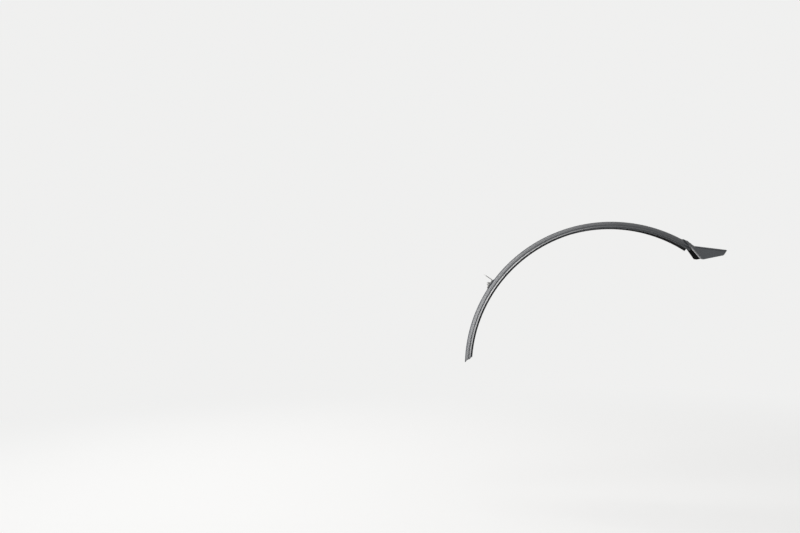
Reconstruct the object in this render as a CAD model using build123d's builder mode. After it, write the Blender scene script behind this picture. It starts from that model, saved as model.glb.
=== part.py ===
"""Rear bicycle mudguard for a 26-inch wheel, in millimetres.

A moulded blade on a circular arc, a tail spoiler that sleeves over the blade's end, and a steel
bracket that hangs the blade from the bicycle's brake bridge. X runs rearward, Z up, and the origin
is the centre of the bracket's bridge hole, on the face that meets the bridge.
"""

import os
from math import cos, degrees, radians, sin, tan

from build123d import *

# Blade arc. Runs are measured along the crown from the bracket.
crown_radius = 369.5
bracket_angle = 145.6
front_run = 210.4
rear_run = 570.5
front_end_round = 30.0
front_end_margin = 2.0
front_hole_diameter = 5.5
front_hole_setback = 32.0

# Blade section, each value one step of the outline from the crown down to the lip.
wall = 2.0
crown_flat = 6.0
crown_camber = 2.5
hump_half_width = 25.0
hump_lean = 4.5
hump_depth = 7.6
step_lean = 0.4
step_drop = 3.0
flange_width = 4.6
flange_drop = 3.3
lip_lean = 0.5
lip_drop = 3.9
shoulder_radius = 5.0
groove_radius = 1.2
flange_radius = 2.4
edge_break = 0.5

# Tail spoiler. Runs are measured along the crown from the blade's rear end, and the wing's
# distances from the kink where it leaves the arc.
fit_clearance = 0.2
end_gap = 0.5
sleeve_skin = 1.3
sleeve_overlap = 24.6
sleeve_side_gap = 0.6
band_rise = 1.0
band_length = 20.6
sweep_overlap = 6.0
sweep_depth = 8.6
neck_run = 6.7
wing_kick = 26.8
wing_length = 79.8
wing_root_half = 26.0
wing_tip_half = 22.5
wing_draft = 23.0
wing_wall = 2.2
ear_setback = 12.7
ear_foot = 7.5
ear_depth = 32.1
ear_corner_radius = 2.5
ear_bevel_width = 3.6
ear_bevel_depth = 1.4
tail_cut = 9.5
tail_depth = 15.5
tail_corner_radius = 6.0

# Push rivets that hold the spoiler.
rivet_spacing = 18.0
rivet_run = 14.0
rivet_diameter = 4.0
rivet_clearance = 0.15
rivet_head_diameter = 8.4
rivet_head_height = 1.6
rivet_seat_margin = 0.4
rivet_seat_depth = 1.1
rivet_tail_diameter = 6.4
rivet_tail_length = 2.6
rivet_point_diameter = 3.6
rivet_head_bevel = 0.8
rivet_slot = 0.8
rivet_pad_length = 13.0
rivet_pad_margin = 1.5
rivet_pad_corner = 2.0
rivet_pad_height = 1.2

# Bridge bracket, its seat on the blade and the frame hole.
bracket_width = 20.0
bracket_thickness = 2.0
bracket_foot = 10.0
bracket_reach = 12.5
bracket_corner_radius = 4.0
bracket_hole_height = 18.0
bracket_bend_radius = 2.0
bracket_top_margin = 9.0
bracket_top_radius = 8.0
bridge_hole_diameter = 6.4
seat_height = 1.2
seat_margin = 1.5
seat_sink = 1.2
boss_height = 0.8
boss_margin = 1.0
boss_sink = 1.2

# M5 fasteners.
screw_diameter = 5.0
screw_hole_clearance = 0.25
screw_head_diameter = 9.5
screw_head_height = 2.75
screw_socket_flats = 3.0
screw_socket_depth = 1.6
screw_proud = 1.2
screw_head_bevel = 1.6
screw_tip_chamfer = 0.5
thread_clearance = 0.05
washer_diameter = 15.0
washer_thickness = 1.2
nut_flats = 8.0
nut_height = 4.0
nut_collar_diameter = 7.0
nut_collar_height = 1.2
nut_collar_bevel = 0.4
nut_chamfer = 0.5


def radial(angle):
    """Outward direction at an angle of the arc."""
    return Vector(cos(radians(angle)), 0, sin(radians(angle)))


def tangent(angle):
    """Direction along the arc toward the tail."""
    return Vector(sin(radians(angle)), 0, -cos(radians(angle)))


def angle_at(run):
    """Angle of the point that lies a run along the crown from the bracket, toward the tail."""
    return bracket_angle - degrees(run / crown_radius)


# Places that several pieces share.
seat_radius = crown_radius + seat_height
boss_radius = crown_radius - wall - boss_height
arc_centre = (
    radial(bracket_angle) * -(seat_radius + bracket_hole_height)
    - tangent(bracket_angle) * bracket_reach
)
arc_axis = Axis(arc_centre, (0, 1, 0))
front_angle = angle_at(-front_run)
front_hole_angle = angle_at(front_hole_setback - front_run)
end_angle = angle_at(rear_run)
sleeve_angle = angle_at(rear_run - sleeve_overlap)
rivet_angle = angle_at(rear_run - rivet_run)
kink_angle = angle_at(rear_run + neck_run)
wing_angle = kink_angle + wing_kick
groove_half_width = hump_half_width + step_lean
groove_depth = hump_depth + step_drop
lip_half_width = groove_half_width + flange_width + lip_lean
section_depth = groove_depth + flange_drop + lip_drop
sleeve_proud = fit_clearance + sleeve_skin
band_proud = sleeve_proud + band_rise
kink_point = arc_centre + radial(kink_angle) * (crown_radius + sleeve_proud)
bracket_outer = bracket_reach + bracket_thickness
screw_hole_radius = screw_diameter / 2 + screw_hole_clearance
nut_corner_radius = nut_flats / 2 / cos(radians(30))
rivet_hole_radius = rivet_diameter / 2 + rivet_clearance
rivet_pad_radius = crown_radius - wall - rivet_pad_height
rivet_seat_radius = crown_radius + band_proud - rivet_seat_depth
rivet_pad_width = rivet_spacing + rivet_tail_diameter + 2 * rivet_pad_margin
wing_side = Plane(origin=kink_point, x_dir=tangent(wing_angle), z_dir=(0, -1, 0))


def section_plane(angle):
    """Plane across the blade: x is sideways, y is the radius from the arc's centre."""
    return Plane(origin=arc_centre, x_dir=(0, 1, 0), z_dir=tangent(angle))


def face_plane(angle, radius):
    """Plane facing outward on the arc: x runs toward the tail, y is sideways."""
    return Plane(
        origin=arc_centre + radial(angle) * radius,
        x_dir=tangent(angle),
        z_dir=radial(angle),
    )


def side_plane(angle, radius):
    """Plane seen from the bicycle's left: x runs toward the tail, y outward."""
    return Plane(
        origin=arc_centre + radial(angle) * radius,
        x_dir=tangent(angle),
        z_dir=(0, -1, 0),
    )


def corner_pair(sketch, half, height):
    """The corners of a sketch nearest to a point and to its mirror image."""
    return [sketch.vertices().sort_by_distance((x, height))[0] for x in (-half, half)]


def hump_profile(angle, grow, depth):
    """Filled outline of the hump, grown by a margin and closed at a depth below the crown."""
    top_half = hump_half_width - hump_lean
    top_height = crown_radius - crown_camber
    foot_height = crown_radius - depth - grow
    foot_half = hump_half_width + step_lean / step_drop * (depth + grow - hump_depth)
    with BuildSketch(section_plane(angle)) as profile:
        with BuildLine():
            crown = TangentArc((crown_flat / 2, crown_radius), (top_half, top_height), tangent=(1, 0))
            side = Polyline(
                crown @ 1,
                (hump_half_width, crown_radius - hump_depth),
                (foot_half, foot_height),
            )
            mirror(about=Plane.YZ)
            Line((-crown_flat / 2, crown_radius), crown @ 0)
            Line(side @ 1, (-foot_half, foot_height))
        make_face()
        fillet(corner_pair(profile, top_half, top_height), radius=shoulder_radius)
        offset(amount=grow)
        with Locations((0, foot_height - grow)):
            Rectangle(4 * foot_half, 4 * grow, mode=Mode.SUBTRACT)
    return profile.sketch


# Blade: the section is turned about the wheel arc and the front end is rounded off. Flat seats are
# moulded on for the bracket outside, and for the screw's washer and the rivets' tails inside.
with BuildPart() as blade:
    with BuildSketch(section_plane(front_angle)) as section:
        top_half = hump_half_width - hump_lean
        top_height = crown_radius - crown_camber
        groove_height = crown_radius - groove_depth
        flange_half = groove_half_width + flange_width
        flange_height = groove_height - flange_drop
        lip_height = flange_height - lip_drop
        closing_height = lip_height - 2 * wall
        closing_half = lip_half_width + 2 * wall * lip_lean / lip_drop
        with BuildLine():
            crown = TangentArc((crown_flat / 2, crown_radius), (top_half, top_height), tangent=(1, 0))
            side = Polyline(
                crown @ 1,
                (hump_half_width, crown_radius - hump_depth),
                (groove_half_width, groove_height),
                (flange_half, flange_height),
                (closing_half, closing_height),
            )
            mirror(about=Plane.YZ)
            Line((-crown_flat / 2, crown_radius), crown @ 0)
            Line(side @ 1, (-closing_half, closing_height))
        make_face()
        fillet(corner_pair(section, top_half, top_height), radius=shoulder_radius)
        fillet(corner_pair(section, groove_half_width, groove_height), radius=groove_radius)
        fillet(corner_pair(section, flange_half, flange_height), radius=flange_radius)
        offset(amount=-wall, mode=Mode.SUBTRACT)
        with Locations((0, closing_height)):
            Rectangle(3 * closing_half, 2 * (lip_height - closing_height), mode=Mode.SUBTRACT)
        chamfer(section.vertices().sort_by(Axis.Y)[:4], length=edge_break)
    revolve(axis=arc_axis, revolution_arc=front_angle - end_angle)
    with BuildSketch(face_plane(front_angle, crown_radius - 2 * section_depth)):
        Rectangle(2 * front_end_round, 3 * lip_half_width)
        with Locations((front_end_round, 0)):
            Ellipse(front_end_round, lip_half_width + front_end_margin, mode=Mode.SUBTRACT)
    extrude(amount=3 * section_depth, mode=Mode.SUBTRACT)
    with BuildSketch(face_plane(bracket_angle, seat_radius)):
        with Locations(((bracket_outer - bracket_foot) / 2, 0)):
            RectangleRounded(
                bracket_outer + bracket_foot + 2 * seat_margin,
                bracket_width + 2 * seat_margin,
                bracket_corner_radius + seat_margin,
            )
    extrude(amount=-(seat_height + seat_sink))
    with BuildSketch(face_plane(bracket_angle, boss_radius)):
        Circle(washer_diameter / 2 + boss_margin)
    extrude(amount=boss_height + boss_sink)
    with BuildSketch(face_plane(rivet_angle, rivet_pad_radius)):
        RectangleRounded(rivet_pad_length, rivet_pad_width, rivet_pad_corner)
    extrude(amount=rivet_pad_height + boss_sink)
    with Locations(face_plane(front_hole_angle, crown_radius)):
        Hole(front_hole_diameter / 2, depth=2 * wall)
    with Locations(face_plane(bracket_angle, seat_radius)):
        Hole(screw_hole_radius, depth=seat_radius - boss_radius + screw_diameter)
    with Locations(face_plane(rivet_angle, crown_radius)):
        with Locations((0, -rivet_spacing / 2), (0, rivet_spacing / 2)):
            Hole(rivet_hole_radius, depth=crown_radius - rivet_pad_radius + rivet_diameter)

# Spoiler: a tapering inverted-U wing and a sleeve with a raised band over the blade's end, hollowed
# to the blade's hump, then trimmed to its outline as seen from the side.
with BuildPart() as spoiler:
    wing_dir = tangent(wing_angle)
    blade_end = arc_centre + radial(end_angle) * (crown_radius - groove_depth)
    wing_front = wing_side.to_local_coords(blade_end).X + end_gap
    open_depth = ear_depth + 2 * wing_wall
    for distance, half in ((wing_front, wing_root_half), (wing_length + end_gap, wing_tip_half)):
        station = Plane(origin=kink_point + wing_dir * distance, x_dir=(0, 1, 0), z_dir=wing_dir)
        open_half = half + (open_depth - crown_camber) * tan(radians(wing_draft))
        with BuildSketch(station) as wing_section:
            with BuildLine():
                crown = ThreePointArc((-half, -crown_camber), (0, 0), (half, -crown_camber))
                Polyline(crown @ 1, (open_half, -open_depth), (-open_half, -open_depth), crown @ 0)
            make_face()
            fillet(corner_pair(wing_section, half, -crown_camber), radius=shoulder_radius)
            offset(amount=-wing_wall, mode=Mode.SUBTRACT)
            with Locations((0, -open_depth)):
                Rectangle(3 * open_half, 3 * wing_wall, mode=Mode.SUBTRACT)
    loft(ruled=True)
    sleeve_depth = groove_depth - sleeve_side_gap
    revolve(
        profiles=hump_profile(sleeve_angle, sleeve_proud, sleeve_depth),
        axis=arc_axis,
        revolution_arc=sleeve_angle - kink_angle,
    )
    revolve(
        profiles=hump_profile(sleeve_angle, band_proud, sleeve_depth),
        axis=arc_axis,
        revolution_arc=degrees(band_length / crown_radius),
    )
    revolve(
        profiles=hump_profile(sleeve_angle + 1, fit_clearance, groove_depth + 1),
        axis=arc_axis,
        revolution_arc=sleeve_angle + 4 - kink_angle,
        mode=Mode.SUBTRACT,
    )
    with BuildSketch(wing_side) as side_view:
        sweep_angle = angle_at(rear_run - sweep_overlap)
        sweep_top = wing_side.to_local_coords(arc_centre + radial(sleeve_angle) * crown_radius)
        sweep_mid = wing_side.to_local_coords(
            arc_centre + radial(sweep_angle) * (crown_radius - sweep_depth)
        )
        above = sweep_top + (sweep_top - sweep_mid)
        ear_front = Vector(ear_setback, -ear_depth)
        ear_back = Vector(ear_setback + ear_foot, -ear_depth)
        tail_end = Vector(wing_length - tail_cut, -tail_depth)
        tip = Vector(wing_length, 0)
        with BuildLine():
            Polyline(
                (above.X, above.Y),
                (sweep_mid.X, sweep_mid.Y),
                (ear_front.X, ear_front.Y),
                (ear_back.X, ear_back.Y),
                (tail_end.X, tail_end.Y),
                (tip.X, tip.Y),
                (tip.X, above.Y),
                close=True,
            )
        make_face()
        for corner, radius in (
            (ear_front, ear_corner_radius),
            (ear_back, ear_corner_radius),
            (tail_end, tail_corner_radius),
        ):
            fillet(side_view.vertices().sort_by_distance(corner)[0], radius=radius)
    extrude(amount=2 * lip_half_width, both=True, mode=Mode.INTERSECT)
    sweep_face = Plane(
        origin=wing_side.from_local_coords(ear_front),
        x_dir=(0, 1, 0),
        z_dir=wing_side.from_local_coords(ear_front - sweep_mid) - wing_side.origin,
    )
    sweep_edges = spoiler.edges().filter_by(
        lambda edge: abs(sweep_face.to_local_coords(edge.center()).Y) < 0.01
    )
    long_edges = sweep_edges.sort_by(SortBy.LENGTH)[-4:]
    outer_edges = long_edges.sort_by(lambda edge: abs(edge.center().Y))[-2:]
    for edge in outer_edges:
        top, bottom = sorted((edge @ 0, edge @ 1), key=lambda point: -point.Z)
        outside = 1 if top.Y > 0 else -1
        with BuildSketch(Plane(origin=top, x_dir=(0, 1, 0), z_dir=bottom - top)):
            Polygon(
                (0, ear_bevel_width),
                (-outside * ear_bevel_depth, 0),
                (outside * ear_bevel_depth, -ear_bevel_depth),
                align=None,
            )
        extrude(amount=(bottom - top).length + ear_corner_radius, mode=Mode.SUBTRACT)
    with Locations(face_plane(rivet_angle, crown_radius + band_proud)):
        with Locations((0, -rivet_spacing / 2), (0, rivet_spacing / 2)):
            CounterBoreHole(
                rivet_hole_radius,
                rivet_head_diameter / 2 + rivet_seat_margin,
                rivet_seat_depth,
                depth=band_proud + rivet_diameter,
            )

# Push rivets: a low domed head on the band, and a split tail spread on the pad inside the blade.
rivets = {}
for name, sideways in (("left", -rivet_spacing / 2), ("right", rivet_spacing / 2)):
    seat = face_plane(rivet_angle, rivet_seat_radius).move(Location((0, sideways, 0)))
    grip = rivet_seat_radius - rivet_pad_radius
    with BuildPart(seat) as rivet:
        Cylinder(
            rivet_head_diameter / 2,
            rivet_head_height,
            align=(Align.CENTER, Align.CENTER, Align.MIN),
        )
        crown_edge = rivet.edges().sort_by(Axis(seat.origin, seat.z_dir))[-1]
        chamfer(crown_edge, length=rivet_head_bevel)
        Cylinder(rivet_diameter / 2, grip, align=(Align.CENTER, Align.CENTER, Align.MAX))
        with Locations((0, 0, -grip)):
            Cone(
                rivet_point_diameter / 2,
                rivet_tail_diameter / 2,
                rivet_tail_length,
                align=(Align.CENTER, Align.CENTER, Align.MAX),
            )
            Box(
                rivet_tail_diameter,
                rivet_slot,
                rivet_tail_length,
                align=(Align.CENTER, Align.CENTER, Align.MAX),
                mode=Mode.SUBTRACT,
            )
    rivets[name] = rivet.part

# Bridge bracket: a bent strip with its foot on the blade's seat and its upright at the bridge.
with BuildPart() as bracket:
    bracket_top = bracket_hole_height + bracket_top_margin
    with BuildSketch(side_plane(bracket_angle, seat_radius)) as bend:
        with BuildLine():
            Polyline(
                (-bracket_foot, 0),
                (bracket_outer, 0),
                (bracket_outer, bracket_top),
                (bracket_reach, bracket_top),
                (bracket_reach, bracket_thickness),
                (-bracket_foot, bracket_thickness),
                close=True,
            )
        make_face()
        inner_bend = bend.vertices().sort_by_distance((bracket_reach, bracket_thickness))[0]
        fillet(inner_bend, radius=bracket_bend_radius)
        outer_bend = bend.vertices().sort_by_distance((bracket_outer, 0))[0]
        fillet(outer_bend, radius=bracket_bend_radius + bracket_thickness)
    extrude(amount=bracket_width / 2, both=True)
    upright = tangent(bracket_angle)
    foot_corners = bracket.edges().filter_by(Axis((0, 0, 0), radial(bracket_angle)))
    fillet(foot_corners.group_by(Axis((0, 0, 0), upright))[0], radius=bracket_corner_radius)
    top_corners = bracket.edges().filter_by(Axis((0, 0, 0), upright))
    fillet(top_corners.group_by(Axis((0, 0, 0), radial(bracket_angle)))[-1], radius=bracket_top_radius)
    with Locations(face_plane(bracket_angle, seat_radius + bracket_thickness)):
        Hole(screw_hole_radius, depth=2 * bracket_thickness)
    with Locations(Plane(origin=upright * bracket_thickness, x_dir=(0, 1, 0), z_dir=upright)):
        Hole(bridge_hole_diameter / 2, depth=2 * bracket_thickness)

# Washer against the boss on the tyre side.
with BuildPart(face_plane(bracket_angle, boss_radius)) as washer:
    Cylinder(washer_diameter / 2, washer_thickness, align=(Align.CENTER, Align.CENTER, Align.MAX))
    Hole(screw_hole_radius, depth=2 * washer_thickness)

# Button-head screw from the tyre side.
with BuildPart(face_plane(bracket_angle, boss_radius - washer_thickness)) as screw:
    clamped = washer_thickness + seat_radius - boss_radius + bracket_thickness
    Cylinder(
        screw_head_diameter / 2,
        screw_head_height,
        align=(Align.CENTER, Align.CENTER, Align.MAX),
    )
    outward = Axis(arc_centre, radial(bracket_angle))
    chamfer(screw.edges().sort_by(outward)[0], length=screw_head_bevel)
    with BuildSketch(face_plane(bracket_angle, boss_radius - washer_thickness - screw_head_height)):
        RegularPolygon(screw_socket_flats / 2, 6, major_radius=False)
    extrude(amount=screw_socket_depth, mode=Mode.SUBTRACT)
    Cylinder(
        screw_diameter / 2,
        clamped + nut_height + nut_collar_height + screw_proud,
        align=(Align.CENTER, Align.CENTER, Align.MIN),
    )
    chamfer(screw.edges().sort_by(outward)[-1], length=screw_tip_chamfer)

# Lock nut on the bracket's foot: a chamfered hexagon with a round collar.
with BuildPart(face_plane(bracket_angle, seat_radius + bracket_thickness)) as nut:
    Cylinder(nut_corner_radius, nut_height, align=(Align.CENTER, Align.CENTER, Align.MIN))
    chamfer(nut.edges().sort_by(outward)[-1], length=nut_chamfer, length2=nut_chamfer * 1.7)
    with BuildSketch(face_plane(bracket_angle, seat_radius + bracket_thickness)):
        RegularPolygon(nut_flats / 2, 6, major_radius=False)
    extrude(amount=nut_height, mode=Mode.INTERSECT)
    Cylinder(
        nut_collar_diameter / 2,
        nut_height + nut_collar_height,
        align=(Align.CENTER, Align.CENTER, Align.MIN),
    )
    chamfer(nut.edges().sort_by(outward)[-1], length=nut_collar_bevel)
    Hole(screw_diameter / 2 + thread_clearance, depth=nut_height + nut_collar_height)

pieces = {
    "blade": blade.part,
    "spoiler": spoiler.part,
    "spoiler_rivet_left": rivets["left"],
    "spoiler_rivet_right": rivets["right"],
    "bridge_bracket": bracket.part,
    "bracket_washer": washer.part,
    "bracket_screw": screw.part,
    "bracket_nut": nut.part,
}
os.makedirs("parts", exist_ok=True)
for name, piece in pieces.items():
    piece.label = name
    export_step(piece, f"parts/{name}.step")
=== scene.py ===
"""Looks of the rear bicycle mudguard: materials, small fasteners, studio and camera."""

import math

import bpy
from mathutils import Matrix, Vector


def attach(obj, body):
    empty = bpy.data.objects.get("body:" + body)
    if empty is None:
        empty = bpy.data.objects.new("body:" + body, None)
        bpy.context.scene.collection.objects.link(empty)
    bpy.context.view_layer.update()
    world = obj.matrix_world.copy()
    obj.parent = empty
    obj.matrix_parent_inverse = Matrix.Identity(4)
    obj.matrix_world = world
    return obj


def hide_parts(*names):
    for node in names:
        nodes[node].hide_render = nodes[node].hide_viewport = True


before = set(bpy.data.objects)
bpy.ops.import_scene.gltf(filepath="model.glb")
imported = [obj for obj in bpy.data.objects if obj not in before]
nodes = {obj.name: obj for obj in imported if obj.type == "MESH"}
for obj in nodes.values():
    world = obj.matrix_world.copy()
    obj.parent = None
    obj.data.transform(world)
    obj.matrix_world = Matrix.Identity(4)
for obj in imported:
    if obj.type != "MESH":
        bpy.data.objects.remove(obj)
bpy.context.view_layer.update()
scene = bpy.context.scene

# Places repeated from the part's source, in metres and degrees.
ARC_CENTRE = Vector((0.31366, 0.0, -0.229917))
CROWN_RADIUS = 0.3695
BRACKET_ANGLE = 145.6
SCREW_SEAT = 0.3655
WASHER_SEAT = 0.3667
NUT_SEAT = 0.3727
RIVET_ANGLE = 59.307
RIVET_SEAT = 0.3709
RIVET_SIDE = 0.009
KINK = Vector((0.520596, 0.0, 0.078009))
WING_DIR = Vector((0.992327, 0.0, -0.123642))
EAR_TOP = (0.50455, 0.07637)
EAR_FOOT = (0.52923, 0.04459)
HUMP_EDGE = (0.0245, 0.0252)


class Nodes:
    """A node tree with short calls for the nodes used here."""

    def __init__(self, tree):
        self.tree = tree

    def add(self, kind, **settings):
        node = self.tree.nodes.new(kind)
        for name, value in settings.items():
            setattr(node, name, value)
        return node

    def link(self, source, target):
        if hasattr(source, "is_output"):
            self.tree.links.new(source, target)
        else:
            target.default_value = source

    def math(self, operation, a, b=0.0, c=0.0):
        node = self.add("ShaderNodeMath", operation=operation)
        for socket, value in zip(node.inputs, (a, b, c)):
            self.link(value, socket)
        return node.outputs[0]

    def product(self, *values):
        total = values[0]
        for value in values[1:]:
            total = self.math("MULTIPLY", total, value)
        return total

    def sum(self, *values):
        total = values[0]
        for value in values[1:]:
            total = self.math("ADD", total, value)
        return total

    def vector(self, operation, a, b=(0.0, 0.0, 0.0)):
        node = self.add("ShaderNodeVectorMath", operation=operation)
        self.link(a, node.inputs[0])
        self.link(b, node.inputs[1])
        scalar = operation in ("DOT_PRODUCT", "LENGTH")
        return node.outputs["Value"] if scalar else node.outputs["Vector"]

    def combine(self, x, y, z):
        node = self.add("ShaderNodeCombineXYZ")
        for socket, value in zip(node.inputs, (x, y, z)):
            self.link(value, socket)
        return node.outputs[0]

    def split(self, source):
        node = self.add("ShaderNodeSeparateXYZ")
        self.link(source, node.inputs[0])
        return node.outputs

    def scaled(self, coords, factors):
        return self.combine(*[self.math("MULTIPLY", c, f) for c, f in zip(coords, factors)])

    def noise(self, coords, scale, detail=2.0, rough=0.5):
        node = self.add("ShaderNodeTexNoise")
        self.link(coords, node.inputs["Vector"])
        node.inputs["Scale"].default_value = scale
        node.inputs["Detail"].default_value = detail
        node.inputs["Roughness"].default_value = rough
        return node.outputs["Fac"]

    def voronoi(self, coords, scale):
        node = self.add("ShaderNodeTexVoronoi", feature="F1")
        self.link(coords, node.inputs["Vector"])
        node.inputs["Scale"].default_value = scale
        return node.outputs["Distance"]

    def range(self, value, low, high, to_low=0.0, to_high=1.0, kind="SMOOTHSTEP"):
        node = self.add("ShaderNodeMapRange", interpolation_type=kind)
        self.link(value, node.inputs["Value"])
        node.inputs["From Min"].default_value = low
        node.inputs["From Max"].default_value = high
        node.inputs["To Min"].default_value = to_low
        node.inputs["To Max"].default_value = to_high
        return node.outputs["Result"]

    def mix(self, factor, a, b):
        node = self.add("ShaderNodeMix", data_type="RGBA")
        self.link(factor, node.inputs["Factor"])
        self.link(a, node.inputs[6])
        self.link(b, node.inputs[7])
        return node.outputs[2]

    def tint(self, colour, tone):
        return self.vector("MULTIPLY", self.combine(*colour), self.combine(tone, tone, tone))

    def bump(self, height, strength, distance):
        node = self.add("ShaderNodeBump")
        node.inputs["Strength"].default_value = strength
        node.inputs["Distance"].default_value = distance
        self.link(height, node.inputs["Height"])
        return node.outputs[0]

    def object_coords(self):
        return self.add("ShaderNodeTexCoord").outputs["Object"]

    def arc_coords(self):
        """Run along the crown, distance sideways and radius from the arc's centre."""
        place = self.vector("SUBTRACT", self.object_coords(), tuple(ARC_CENTRE))
        x, y, z = self.split(place)
        run = self.math("MULTIPLY", self.math("ARCTAN2", z, x), -CROWN_RADIUS)
        return run, y, self.vector("LENGTH", self.combine(x, 0.0, z))

    def facing_up(self):
        return self.split(self.add("ShaderNodeNewGeometry").outputs["Normal"])[2]

    def edge_mask(self, radius, low, high):
        """One along edges, from how far a bevelled normal departs from the face's own."""
        bevel = self.add("ShaderNodeBevel", samples=6)
        bevel.inputs["Radius"].default_value = radius
        own = self.add("ShaderNodeNewGeometry").outputs["Normal"]
        agree = self.vector("DOT_PRODUCT", bevel.outputs[0], own)
        return self.range(self.math("SUBTRACT", 1.0, agree), low, high)


# Colours that wear and dirt mix into the plastic; the chipped one is also a painted highlight.
DUST = (0.22, 0.21, 0.19, 1.0)
GRIT = (0.26, 0.25, 0.23, 1.0)
SCRATCHED = (0.12, 0.122, 0.126, 1.0)
RUBBED = (0.13, 0.132, 0.138, 1.0)
CHIPPED_HIGHLIGHT = (0.18, 0.182, 0.187, 1.0)
DRIED_SPRAY = (0.09, 0.082, 0.07, 1.0)
NYLON_RUBBED = (0.11, 0.11, 0.115, 1.0)
STEEL_EDGE = (0.55, 0.55, 0.54, 1.0)

# Base colours. The lip goes paler toward the tail as painted sheen, over a run along the crown in
# metres.
BLACK = (0.027, 0.030, 0.035)
# The insides are darker than the outside: painted shade for the side in the tyre's shadow.
BLADE_SHADED_INSIDE = (0.014, 0.014, 0.0145)
SPOILER_SHADED_INSIDE = (0.008, 0.008, 0.0085)
NYLON_BLACK = (0.022, 0.022, 0.024)
# The lip's near-black is painted shade below the flange.
LIP_SHADE_BLACK = (0.008, 0.0085, 0.0095)
LIP_TAIL_SHEEN = (0.065, 0.068, 0.073, 1.0)
LIP_SHEEN_FADE = (-0.761, -0.545)
STRIP_GREY = (0.22, 0.22, 0.218)
FASTENER_GREY = (0.38, 0.38, 0.373)

# Textures: where most of a noise lies, how it is stretched along, across and outward, how much
# rougher the hump is, and the grain's pits per metre.
MID = (0.3, 0.7)
STREAK_STRETCH = (6.0, 70.0, 70.0)
HAIR_STRETCH = (30.0, 900.0, 900.0)
BRUSH_STRETCH = (260.0, 6500.0, 260.0)
TURNED_STRETCH = (9000.0, 0.0, 9000.0)
HUMP_ROUGHER = 0.12
PITS_SCALE = 2600.0

OUTER_IOR = 1.58
INNER_IOR = 1.42
NYLON_IOR = 1.53

# Ears' strip, painted highlight and scuffs: width, its ragged border and where it starts below the
# ears' top.
HIGHLIGHT_SCUFF_WIDTH = (0.0025, 0.0043)
HIGHLIGHT_SCUFF_RAGGED = 0.0006
HIGHLIGHT_SCUFF_START = (-0.004, 0.002)

# Ejector marks inside the blade: run between rows (half a period), offset, border and raised rim.
EJECTOR_RUN = 0.06
EJECTOR_SIDE = 0.011
EJECTOR_BORDER = (0.0028, 0.0032)
EJECTOR_RIM = (0.0022, 0.0027)


def material(name):
    """A new material, with its node tree and principled shader."""
    made = bpy.data.materials.new(name)
    made.use_nodes = True
    made.node_tree.nodes.clear()
    tree = Nodes(made.node_tree)
    shader = tree.add("ShaderNodeBsdfPrincipled")
    output = tree.add("ShaderNodeOutputMaterial")
    tree.link(shader.outputs[0], output.inputs["Surface"])
    return made, tree, shader


def ear_scuff_highlight(t, place):
    """The ears' front edges: painted highlight on the bevel, and scuffs bitten pale by what the
    wheel throws at them.
    """
    run = (EAR_FOOT[0] - EAR_TOP[0], EAR_FOOT[1] - EAR_TOP[1])
    size = math.hypot(*run)
    x, _, z = t.split(place)
    dx = t.math("SUBTRACT", x, EAR_TOP[0])
    dz = t.math("SUBTRACT", z, EAR_TOP[1])
    back = t.sum(t.product(dx, -run[1] / size), t.product(dz, run[0] / size))
    down = t.sum(t.product(dx, run[0] / size), t.product(dz, run[1] / size))
    torn = t.range(t.noise(place, 260.0, 4.0, 0.6), *MID, -HIGHLIGHT_SCUFF_RAGGED, HIGHLIGHT_SCUFF_RAGGED)
    width = t.range(t.sum(back, torn), *HIGHLIGHT_SCUFF_WIDTH, 1.0, 0.0)
    strip = t.product(width, t.range(down, *HIGHLIGHT_SCUFF_START))
    return t.product(strip, t.range(t.noise(place, 700.0, 3.0, 0.6), 0.3, 0.6, 0.65, 1.0))


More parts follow.
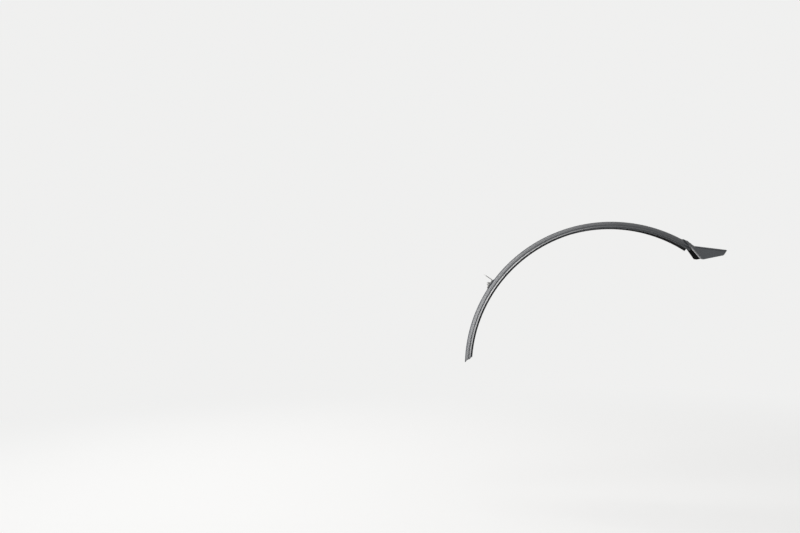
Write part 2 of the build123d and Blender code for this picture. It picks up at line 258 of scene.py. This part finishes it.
def outer_plastic(name, colour, roughness, specular, on_arc, scuffed_highlight=False, sheen_fading=False):
    """Black moulding: eroded grain, flow streaks, dust on top, scratches and rubbed edges."""
    made, t, shader = material(name)
    place = t.object_coords()
    along = t.arc_coords() if on_arc else t.split(place)
    streaks = t.noise(t.scaled(along, STREAK_STRETCH), 1.0, 4.0, 0.6)
    clouds = t.noise(place, 22.0, 3.0, 0.55)
    specks = t.noise(place, 900.0, 2.0, 0.6)
    patchy = t.range(t.noise(place, 38.0, 5.0, 0.6), *MID, 0.6, 1.0)
    film = t.product(t.range(t.facing_up(), 0.25, 0.95), patchy)
    grit = t.product(t.range(t.noise(place, 1300.0, 1.0, 0.5), 0.62, 0.72), film)
    broken = t.range(t.noise(place, 90.0, 4.0, 0.6), *MID)
    rubbed = t.product(t.edge_mask(0.0009, 0.02, 0.25), broken)
    hairs = t.noise(t.scaled(along, HAIR_STRETCH), 1.0, 2.0, 0.4)
    scratch = t.range(hairs, 0.66, 0.72)

    tone = t.sum(t.range(clouds, *MID, 0.92, 1.07), t.range(streaks, *MID, -0.06, 0.06))
    shade = t.tint(colour, tone)
    shade = t.mix(t.product(film, 0.06), shade, DUST)
    shade = t.mix(t.product(grit, 0.12), shade, GRIT)
    shade = t.mix(t.product(scratch, 0.10), shade, SCRATCHED)
    shade = t.mix(t.product(rubbed, 0.35), shade, RUBBED)
    gloss = t.sum(
        t.range(streaks, 0.25, 0.75, roughness - 0.04, roughness + 0.05),
        t.range(clouds, *MID, -0.03, 0.03),
        t.product(film, 0.12),
        t.product(scratch, 0.08),
    )
    if scuffed_highlight:
        # Painted highlight along the ears' bevel, mixed with scuffs.
        chips_and_highlight = ear_scuff_highlight(t, place)
        shade = t.mix(chips_and_highlight, shade, CHIPPED_HIGHLIGHT)
        gloss = t.sum(gloss, t.product(chips_and_highlight, 0.12))
    if on_arc:
        hump = t.range(t.math("ABSOLUTE", along[1]), *HUMP_EDGE, 1.0, 0.0)
        gloss = t.sum(gloss, t.product(hump, HUMP_ROUGHER))
    # Painted sheen: the lip goes paler toward the tail.
    if sheen_fading:
        shade = t.mix(t.range(along[0], *LIP_SHEEN_FADE), shade, LIP_TAIL_SHEEN)
    t.link(shade, shader.inputs["Base Color"])
    t.link(gloss, shader.inputs["Roughness"])

    pits = t.voronoi(place, PITS_SCALE)
    height = t.sum(t.product(pits, 0.5), t.product(specks, 0.8), t.product(scratch, -0.4))
    t.link(t.bump(height, 0.14, 0.0001), shader.inputs["Normal"])
    shader.inputs["IOR"].default_value = OUTER_IOR
    shader.inputs["Specular IOR Level"].default_value = specular
    return made


def inner_plastic(name, colour, specular, on_arc):
    """The matt side facing the tyre, darkened as painted shade: coarser grain, ejector marks and
    dried spray.
    """
    made, t, shader = material(name)
    place = t.object_coords()
    clouds = t.noise(place, 30.0, 4.0, 0.6)
    spray = t.range(t.noise(place, 520.0, 2.0, 0.5), 0.64, 0.74)
    shade = t.tint(colour, t.range(clouds, *MID, 0.85, 1.2))
    shade = t.mix(t.product(spray, 0.10), shade, DRIED_SPRAY)
    gloss = t.range(clouds, *MID, 0.6, 0.74)
    height = t.product(t.noise(place, 1500.0, 2.0, 0.6), 0.8)
    if on_arc:
        run, side, _ = t.arc_coords()
        step = t.math("SUBTRACT", t.math("PINGPONG", run, EJECTOR_RUN), EJECTOR_RUN / 2)
        row = t.math("SUBTRACT", t.math("ABSOLUTE", side), EJECTOR_SIDE)
        away = t.vector("LENGTH", t.combine(step, row, 0.0))
        disc = t.range(away, *EJECTOR_BORDER, 1.0, 0.0)
        rim = t.product(disc, t.range(away, *EJECTOR_RIM))
        gloss = t.sum(gloss, t.product(disc, -0.14))
        height = t.sum(height, t.product(rim, 1.6))
    t.link(shade, shader.inputs["Base Color"])
    t.link(gloss, shader.inputs["Roughness"])
    t.link(t.bump(height, 0.25, 0.00012), shader.inputs["Normal"])
    shader.inputs["IOR"].default_value = INNER_IOR
    shader.inputs["Specular IOR Level"].default_value = specular
    return made


def black_nylon(name):
    """Natural black nylon of the push rivets and the nut's insert."""
    made, t, shader = material(name)
    place = t.object_coords()
    clouds = t.noise(place, 400.0, 3.0, 0.55)
    rubbed = t.product(t.edge_mask(0.0003, 0.03, 0.3), t.range(clouds, 0.35, 0.65))
    shade = t.tint(NYLON_BLACK, t.range(clouds, *MID, 0.85, 1.15))
    shade = t.mix(t.product(rubbed, 0.4), shade, NYLON_RUBBED)
    t.link(shade, shader.inputs["Base Color"])
    t.link(t.range(clouds, 0.25, 0.75, 0.34, 0.48), shader.inputs["Roughness"])
    t.link(t.bump(t.noise(place, 3000.0, 2.0, 0.6), 0.12, 0.00005), shader.inputs["Normal"])
    shader.inputs["IOR"].default_value = NYLON_IOR
    return made


def bare_steel(name, colour, roughness, turned):
    """Stainless steel, brushed along the strip or turned round a piece's own axis."""
    made, t, shader = material(name)
    place = t.object_coords()
    x, y, z = t.split(place)
    if turned:
        spread = t.vector("LENGTH", t.combine(x, y, 0.0))
        lines = t.noise(t.scaled((spread, y, z), TURNED_STRETCH), 1.0, 3.0, 0.6)
    else:
        lines = t.noise(t.scaled((x, y, z), BRUSH_STRETCH), 1.0, 4.0, 0.65)
    clouds = t.noise(place, 300.0, 4.0, 0.6)
    edges = t.edge_mask(0.0004, 0.02, 0.3)
    tone = t.sum(t.range(lines, 0.25, 0.75, 0.88, 1.06), t.range(clouds, *MID, -0.07, 0.04))
    shade = t.mix(t.product(edges, 0.45), t.tint(colour, tone), STEEL_EDGE)
    t.link(shade, shader.inputs["Base Color"])
    gloss = t.range(lines, 0.25, 0.75, roughness - 0.06, roughness + 0.08)
    t.link(t.sum(gloss, t.range(clouds, 0.4, 0.75, 0.0, 0.09)), shader.inputs["Roughness"])
    t.link(t.bump(lines, 0.12, 0.00004), shader.inputs["Normal"])
    shader.inputs["Metallic"].default_value = 1.0
    return made


# The looks in the order of a mesh's slots: side, inside, crown and a fourth, which is the blade's
# lip or the wing's top.
SIDE_LOOK, INNER_LOOK, CROWN_LOOK, FOURTH_LOOK = range(4)
blade_looks = (
    outer_plastic("blade_plastic_look", BLACK, 0.28, 0.68, on_arc=True),
    inner_plastic("blade_inner_look", BLADE_SHADED_INSIDE, 0.14, on_arc=True),
    outer_plastic("blade_back_look", BLACK, 0.52, 0.22, on_arc=True),
    # The lip: near-black as painted shade, paler toward the tail as painted sheen.
    outer_plastic("blade_lip_look", LIP_SHADE_BLACK, 0.6, 0.10, on_arc=True, sheen_fading=True),
)
spoiler_looks = (
    outer_plastic("spoiler_plastic_look", BLACK, 0.44, 0.60, on_arc=False, scuffed_highlight=True),
    inner_plastic("spoiler_inner_look", SPOILER_SHADED_INSIDE, 0.06, on_arc=False),
    outer_plastic("sleeve_back_look", BLACK, 0.52, 0.22, on_arc=True),
    outer_plastic("wing_back_look", BLACK, 0.62, 0.22, on_arc=False),
)
nylon = black_nylon("rivet_nylon_look")
strip_steel = bare_steel("bracket_steel_look", STRIP_GREY, 0.5, turned=False)
round_steel = bare_steel("fastener_steel_look", FASTENER_GREY, 0.34, turned=True)

# How faces are told apart: distances in metres, leans as cosines to a direction.
CHANNEL_DEPTH = 0.015
WING_DEPTH = 0.020
BLADE_BACK = 0.01905
SLEEVE_BACK = 0.0198
BLADE_LIP = 0.0291
BLADE_INNER_LEAN = -0.06
SPOILER_INNER_LEAN = -0.35
FRONT_CUT = -0.75
WING_TOP = 0.39


def is_lip(_, sides):
    return min(sides) > BLADE_LIP


def is_wing_top(face, _):
    return (face.center - KINK).dot(WING_DIR) > 0.0 and face.normal.z > WING_TOP


def dress(name, looks, middle, inner_lean, half_width, is_fourth):
    """Give each face its look; a face is inside when it leans to the channel's middle."""
    mesh = nodes[name].data
    mesh.materials.clear()
    for look in looks:
        mesh.materials.append(look)
    for face in mesh.polygons:
        outward = (face.center - middle(face.center)).normalized()
        sides = [abs(mesh.vertices[i].co.y) for i in face.vertices]
        if outward.dot(face.normal) < inner_lean and face.normal.x > FRONT_CUT:
            face.material_index = INNER_LOOK
        elif max(sides) < half_width and (face.center - KINK).dot(WING_DIR) < 0.0:
            face.material_index = CROWN_LOOK
        elif is_fourth(face, sides):
            face.material_index = FOURTH_LOOK
        else:
            face.material_index = SIDE_LOOK


def blade_middle(place):
    flat = Vector((place.x, 0.0, place.z)) - ARC_CENTRE
    return ARC_CENTRE + flat.normalized() * (CROWN_RADIUS - CHANNEL_DEPTH)


def spoiler_middle(place):
    along = (place - KINK).dot(WING_DIR)
    if along < 0.0:
        return blade_middle(place)
    below = Vector((WING_DIR.z, 0.0, -WING_DIR.x))
    return KINK + WING_DIR * along + below * WING_DEPTH


dress("blade", blade_looks, blade_middle, BLADE_INNER_LEAN, BLADE_BACK, is_lip)
dress("spoiler", spoiler_looks, spoiler_middle, SPOILER_INNER_LEAN, SLEEVE_BACK, is_wing_top)

# The outer side's lean, as the sine of its normal's tilt: from, to (metres sideways) and rise.
SIDE_BENDS = (
    (0.003, 0.01901, 0.2566),
    (0.01901, 0.02148, 0.4933),
    (0.02533, 0.02582, -0.4082),
    (0.02915, 0.03013, 0.4084),
)
SIDE_CORNER = (0.02499, 0.02501, 0.2414)
CORNER_INSET = 0.3
PADS_HALF_WIDTH = 0.014
SAME_SIDE = 0.85


def section_normals(node):
    """A modifier that sets the outer side's normals square to the section.

    The slivers in the fillets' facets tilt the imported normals, which shows as saw teeth.
    """
    group = bpy.data.node_groups.new("section_normals", "GeometryNodeTree")
    for way in ("INPUT", "OUTPUT"):
        group.interface.new_socket("Mesh", in_out=way, socket_type="NodeSocketGeometry")
    t = Nodes(group)
    place = t.add("GeometryNodeInputPosition").outputs[0]
    x, y, z = t.split(t.vector("SUBTRACT", place, tuple(ARC_CENTRE)))
    side = t.math("ABSOLUTE", y)
    middle = t.add("GeometryNodeFieldOnDomain", domain="FACE", data_type="FLOAT")
    t.link(side, middle.inputs[0])
    to_middle = t.math("SUBTRACT", middle.outputs[0], side)
    inward = t.math("MULTIPLY_ADD", to_middle, CORNER_INSET, side)
    bends = [t.range(side, low, high, 0.0, rise, "LINEAR") for low, high, rise in SIDE_BENDS]
    low, high, rise = SIDE_CORNER
    lean = t.sum(*bends, t.range(inward, low, high, 0.0, rise, "LINEAR"))
    upright = t.math("SQRT", t.math("SUBTRACT", 1.0, t.product(lean, lean)))
    across, _, up = t.split(t.vector("NORMALIZE", t.combine(x, 0.0, z)))
    square = t.combine(
        t.product(across, upright), t.product(t.math("SIGN", y), lean), t.product(up, upright)
    )
    own = t.add("GeometryNodeInputNormal").outputs["Normal"]
    agrees = t.math("GREATER_THAN", t.vector("DOT_PRODUCT", own, square), SAME_SIDE)
    chosen = t.product(agrees, t.math("GREATER_THAN", side, PADS_HALF_WIDTH))
    change = t.vector("SUBTRACT", square, own)
    normal = t.vector("ADD", own, t.vector("MULTIPLY", change, t.combine(chosen, chosen, chosen)))
    setter = t.add("GeometryNodeSetMeshNormal", mode="FREE", domain="CORNER")
    t.link(t.add("NodeGroupInput").outputs[0], setter.inputs["Mesh"])
    t.link(normal, setter.inputs["Custom Normal"])
    t.link(setter.outputs[0], t.add("NodeGroupOutput").inputs[0])
    node.modifiers.new("section_normals", "NODES").node_group = group


section_normals(nodes["blade"])

bracket_mesh = nodes["bridge_bracket"].data
bracket_mesh.materials.clear()
bracket_mesh.materials.append(strip_steel)


def seat_frame(angle, radius, side=0.0):
    """Frame on the arc: x toward the tail, y sideways, z outward."""
    c, s = math.cos(math.radians(angle)), math.sin(math.radians(angle))
    origin = ARC_CENTRE + Vector((c, 0.0, s)) * radius + Vector((0.0, side, 0.0))
    axes = Matrix(((s, 0.0, c), (0.0, 1.0, 0.0), (-c, 0.0, s))).to_4x4()
    return Matrix.Translation(origin) @ axes


def hexagon(flats):
    """Radius of a hexagon in a direction, with a corner at zero."""
    return lambda a: flats / 2 / math.cos((a % (math.pi / 3)) - math.pi / 6)


SHARP_ANGLE = math.radians(32)


class Turning:
    """Closed shells of rings about the z axis, in millimetres."""

    def __init__(self):
        self.points, self.faces = [], []

    def ring(self, z, radius, count):
        first = len(self.points)
        for i in range(count):
            a = 2 * math.pi * i / count
            r = radius(a) if callable(radius) else radius
            self.points.append((r * math.cos(a), r * math.sin(a), z))
        return [first + i for i in range(count)]

    def bridge(self, low, high):
        for i in range(len(low)):
            j = (i + 1) % len(low)
            self.faces.append((low[i], low[j], high[j], high[i]))

    def cap(self, ring, z, upward):
        self.points.append((0.0, 0.0, z))
        middle = len(self.points) - 1
        for i in range(len(ring)):
            j = (i + 1) % len(ring)
            self.faces.append((ring[i], ring[j], middle) if upward else (ring[j], ring[i], middle))

    def solid(self, profile, count):
        """Shell from the first ring to the last, each closed by a cap."""
        rings = [self.ring(z, r, count) for z, r in profile]
        for low, high in zip(rings, rings[1:]):
            self.bridge(low, high)
        self.cap(rings[0], profile[0][0], False)
        self.cap(rings[-1], profile[-1][0], True)

    def tube(self, profile, count):
        """Shell whose last ring joins its first."""
        rings = [self.ring(z, r, count) for z, r in profile]
        for low, high in zip(rings, rings[1:] + rings[:1]):
            self.bridge(low, high)

    def outline(self, rows):
        """Shell through closed rows of points that all have the same count."""
        rings = []
        for row in rows:
            rings.append(list(range(len(self.points), len(self.points) + len(row))))
            self.points.extend(row)
        for low, high in zip(rings, rings[1:]):
            self.bridge(low, high)
        self.faces.append(tuple(reversed(rings[0])))
        self.faces.append(tuple(rings[-1]))

    def make(self, name, place, look, stands_for=None):
        mesh = bpy.data.meshes.new(name)
        mesh.from_pydata([tuple(c / 1000 for c in p) for p in self.points], [], self.faces)
        mesh.polygons.foreach_set("use_smooth", [True] * len(mesh.polygons))
        mesh.set_sharp_from_angle(angle=SHARP_ANGLE)
        mesh.materials.append(look)
        piece = bpy.data.objects.new(name, mesh)
        scene.collection.objects.link(piece)
        piece.matrix_world = place
        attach(piece, "root")
        if stands_for:
            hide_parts(stands_for)


def dome(base, top, radius, edge, steps):
    """Rings of a low dome from a radius at its base to a smaller one at its top."""
    turns = [math.pi / 2 * i / steps for i in range(steps + 1)]
    heights = [base + (top - base) * math.sin(a) for a in turns]
    return list(zip(heights, [edge + (radius - edge) * math.cos(a) for a in turns]))


# Button-head screw from the tyre side: hexagon socket, domed head, shank and rolled thread.
PITCH = 0.8
SHANK = 2.47
THREAD_START = 5.2
THREAD_END = 13.1
THREAD_STEP = 0.08
THREAD_DEPTH = 0.46
THREAD_RUN_IN = 0.8
THREAD_RUN_OUT = 0.5
ROOT_HALF = 0.08
FLANK = 0.36
SCREW_SIDES = 48


def thread(z):
    """Radius round the thread at a height; the groove fades in and out at its ends."""
    fade = min(1.0, (z - THREAD_START) / THREAD_RUN_IN, (THREAD_END - z) / THREAD_RUN_OUT)

    def radius(a):
        phase = (z / PITCH - a / (2 * math.pi)) % 1.0
        rise = min(1.0, max(0.0, (abs(phase - 0.5) - ROOT_HALF) / FLANK))
        return SHANK - THREAD_DEPTH * fade * (1.0 - rise)

    return radius


screw = Turning()
profile = [(-1.0, hexagon(1.0)), (-1.15, hexagon(3.0))]
profile += [(-2.6, hexagon(3.0)), (-2.75, hexagon(3.3))]
profile += dome(-0.45, -2.75, 4.75, 2.3, 10)[::-1]
profile += [(-0.12, 4.75), (0.0, 4.62), (0.0, 2.62), (0.25, SHANK), (THREAD_START, SHANK)]
for i in range(1, int((THREAD_END - THREAD_START) / THREAD_STEP)):
    height = THREAD_START + THREAD_STEP * i
    profile.append((height, thread(height)))
profile += [(13.15, 2.36), (13.6, 1.95)]
screw.solid(profile, SCREW_SIDES)
seat = seat_frame(BRACKET_ANGLE, SCREW_SEAT)
screw.make("bracket_screw_turned", seat, round_steel, "bracket_screw")

# Washer with rolled edges.
WASHER_SIDES = 72
washer = Turning()
profile = [(-1.2, 2.9), (-1.2, 7.3), (-1.05, 7.46), (-0.15, 7.5)]
profile += [(0.0, 7.38), (0.0, 2.85), (-0.12, 2.75), (-1.08, 2.75)]
washer.tube(profile, WASHER_SIDES)
seat = seat_frame(BRACKET_ANGLE, WASHER_SEAT)
washer.make("bracket_washer_turned", seat, round_steel, "bracket_washer")

# Lock nut: hexagon with turned corners, rolled collar and a nylon insert.
AROUND = hexagon(8.0)
NUT_SIDES = 96
INSERT_SIDES = 64
FOOT_RADIUS = 4.05
CORNER_RADIUS = 4.62
FOOT_STEPS = 5
FOOT_RISE = 0.08
SHOULDER = 3.3
SHOULDER_STEPS = 7
SHOULDER_RISE = 0.1
SHOULDER_DROP = 0.72


def trimmed(limit):
    """The hexagon with its corners turned down to a radius."""
    return lambda a: min(AROUND(a), limit)


nut = Turning()
profile = [(0.0, 2.95), (0.0, FOOT_RADIUS)]
for i in range(1, FOOT_STEPS + 1):
    rise = (CORNER_RADIUS - FOOT_RADIUS) * math.sin(math.pi / 2 * i / FOOT_STEPS)
    profile.append((FOOT_RISE * i, trimmed(FOOT_RADIUS + rise)))
profile.append((SHOULDER, AROUND))
for i in range(1, SHOULDER_STEPS + 1):
    drop = SHOULDER_DROP * (1 - math.cos(math.pi / 2 * i / SHOULDER_STEPS))
    profile.append((SHOULDER + SHOULDER_RISE * i, trimmed(CORNER_RADIUS - drop)))
profile += [(4.02, 3.62), (4.2, 3.5), (4.85, 3.5), (5.08, 3.38), (5.2, 3.1), (5.14, 2.86)]
profile += [(4.95, 2.84), (4.2, 2.84), (4.18, 2.56), (0.35, 2.56)]
nut.tube(profile, NUT_SIDES)
seat = seat_frame(BRACKET_ANGLE, NUT_SEAT)
nut.make("bracket_nut_turned", seat, round_steel, "bracket_nut")
insert = Turning()
profile = [(4.24, 2.52), (4.24, 2.82), (4.9, 2.82), (5.02, 2.74), (5.02, 2.58), (4.94, 2.52)]
insert.tube(profile, INSERT_SIDES)
insert.make("bracket_nut_insert", seat, nylon)

# Push rivets: domed head with a centre pin, and a split tail behind the pad.
RIVET_SIDES = 64
LEG_TURN = 78
LEG_STEPS = 16
SPLIT_HALF = 0.4
TAIL = (
    (-7.2, 1.75),
    (-6.9, 2.0),
    (-6.0, 2.55),
    (-5.2, 3.02),
    (-4.85, 3.16),
    (-4.66, 3.12),
    (-4.6, 3.0),
    (-4.6, 2.2),
    (-4.2, 1.96),
)


def leg(side):
    """One half of the split tail: rows of a D outline that swell and taper to the point."""
    step = 2 * LEG_TURN / LEG_STEPS
    turns = [math.radians(-LEG_TURN + step * i) for i in range(LEG_STEPS + 1)]
    rows = []
    for z, r in TAIL:
        row = [(r * math.sin(a), side * max(SPLIT_HALF, r * math.cos(a)), z) for a in turns]
        rows.append(row if side < 0 else row[::-1])
    return rows


for side_name, side in (("left", -1), ("right", 1)):
    rivet = Turning()
    profile = [(-4.55, 1.9), (-4.4, 1.98), (-0.2, 1.98), (0.0, 2.1), (0.0, 4.1), (0.14, 4.2)]
    profile += dome(0.5, 1.58, 4.2, 1.75, 9)
    profile += [(1.36, 1.62), (1.32, 1.5), (1.42, 1.4), (1.56, 1.22), (1.6, 0.7)]
    rivet.solid(profile, RIVET_SIDES)
    rivet.outline(leg(-1))
    rivet.outline(leg(1))
    name = "spoiler_rivet_" + side_name
    seat = seat_frame(RIVET_ANGLE, RIVET_SEAT, side * RIVET_SIDE)
    rivet.make(name + "_turned", seat, nylon, name)

# Studio: a pale floor that fades into the pale world and keeps the object's soft shadow. It is
# see-through from below, and dimmer for the rays that only bring light.
PALE = (0.87, 0.87, 0.865, 1.0)
PAPER = (0.80, 0.80, 0.795, 1.0)
DIM = (0.36, 0.36, 0.36, 1.0)
ROOM_COLOUR = (0.93, 0.97, 1.0, 1.0)
ROOM_STRENGTH = 0.08
FLOOR_PLACE = (0.3, 0.0, -0.557)
FLOOR_RADIUS = 14.0
FLOOR_SIDES = 96
FLOOR_GLOW = 0.6
FLOOR_FADE = (0.5, 2.4)


def shown(t):
    """One for the rays that show the background: camera, glossy and transmission."""
    rays = t.add("ShaderNodeLightPath").outputs
    shiny = t.math("MAXIMUM", rays["Is Glossy Ray"], rays["Is Transmission Ray"])
    return t.math("MAXIMUM", rays["Is Camera Ray"], shiny)


def blended(t, factor, a, b):
    """A mix of two shaders, from the first at zero to the second at one."""
    node = t.add("ShaderNodeMixShader")
    t.link(factor, node.inputs[0])
    t.link(a.outputs[0], node.inputs[1])
    t.link(b.outputs[0], node.inputs[2])
    return node


floor_mesh = bpy.data.meshes.new("floor")
turns = [2 * math.pi * i / FLOOR_SIDES for i in range(FLOOR_SIDES)]
rim = [(FLOOR_RADIUS * math.cos(a), FLOOR_RADIUS * math.sin(a), 0.0) for a in turns]
floor_mesh.from_pydata(rim, [], [list(range(FLOOR_SIDES))])
floor = bpy.data.objects.new("floor", floor_mesh)
scene.collection.objects.link(floor)
floor.location = FLOOR_PLACE
floor_look = bpy.data.materials.new("floor_look")
floor_look.use_nodes = True
floor_look.node_tree.nodes.clear()
t = Nodes(floor_look.node_tree)
paper = t.add("ShaderNodeBsdfDiffuse")
paper.inputs["Color"].default_value = PAPER
dim = t.add("ShaderNodeBsdfDiffuse")
dim.inputs["Color"].default_value = DIM
glow = t.add("ShaderNodeEmission")
glow.inputs["Color"].default_value = PALE
near = blended(t, FLOOR_GLOW, paper, glow)
away = t.range(t.vector("LENGTH", t.object_coords()), *FLOOR_FADE)
seen = blended(t, away, near, glow)
above = blended(t, shown(t), dim, seen)
below = t.add("ShaderNodeNewGeometry").outputs["Backfacing"]
t.link(
    blended(t, below, above, t.add("ShaderNodeBsdfTransparent")).outputs[0],
    t.add("ShaderNodeOutputMaterial").inputs["Surface"],
)
floor_mesh.materials.append(floor_look)

world = bpy.data.worlds.new("studio")
scene.world = world
world.use_nodes = True
world.node_tree.nodes.clear()
t = Nodes(world.node_tree)
pale = t.add("ShaderNodeBackground")
pale.inputs["Color"].default_value = PALE
room = t.add("ShaderNodeBackground")
room.inputs["Strength"].default_value = ROOM_STRENGTH
room.inputs["Color"].default_value = ROOM_COLOUR
t.link(
    blended(t, shown(t), room, pale).outputs[0],
    t.add("ShaderNodeOutputWorld").inputs["Surface"],
)

# Lamps like an overcast sky, brightest low in front: place and power of each.
LAMP_TARGET = Vector((0.15, 0.0, -0.05))
LAMP_SIZE = (3.2, 3.7)
LAMP_COLOUR = (1.0, 0.99, 0.98)
LAMPS = {
    "front_low": ((-5.85, -3.36, 1.34), 521.0),
    "front_middle": ((-4.39, -3.36, 4.11), 90.0),
    "front_high": ((-1.70, -3.36, 5.83), 97.0),
    "back_low": ((-6.30, 2.31, 1.34), 170.0),
    "back_middle": ((-4.70, 2.31, 4.40), 283.0),
    "back_high": ((-1.83, 2.31, 6.23), 112.0),
}
for name, (place, power) in LAMPS.items():
    data = bpy.data.lights.new(name, "AREA")
    data.shape = "RECTANGLE"
    data.size, data.size_y = LAMP_SIZE
    data.energy = power
    data.color = LAMP_COLOUR
    lamp = bpy.data.objects.new(name, data)
    scene.collection.objects.link(lamp)
    lamp.location = place
    lamp.rotation_mode = "QUATERNION"
    lamp.rotation_quaternion = (LAMP_TARGET - Vector(place)).to_track_quat("-Z", "Y")
    lamp.visible_camera = False

# Camera where the photograph was taken from, held level; lens and frame width in millimetres.
CAMERA_PLACE = (-0.05621, -2.56885, 0.02605)
CAMERA_LOOK = Vector((-0.06453, 0.99792, 0.0))
CAMERA_LENS = 45.0
CAMERA_FRAME = 36.0
camera_data = bpy.data.cameras.new("camera")
camera_data.sensor_width = CAMERA_FRAME
camera_data.lens = CAMERA_LENS
camera = bpy.data.objects.new("camera", camera_data)
scene.collection.objects.link(camera)
camera.location = CAMERA_PLACE
camera.rotation_mode = "QUATERNION"
camera.rotation_quaternion = CAMERA_LOOK.to_track_quat("-Z", "Y")
scene.camera = camera
scene.view_settings.view_transform = "Standard"
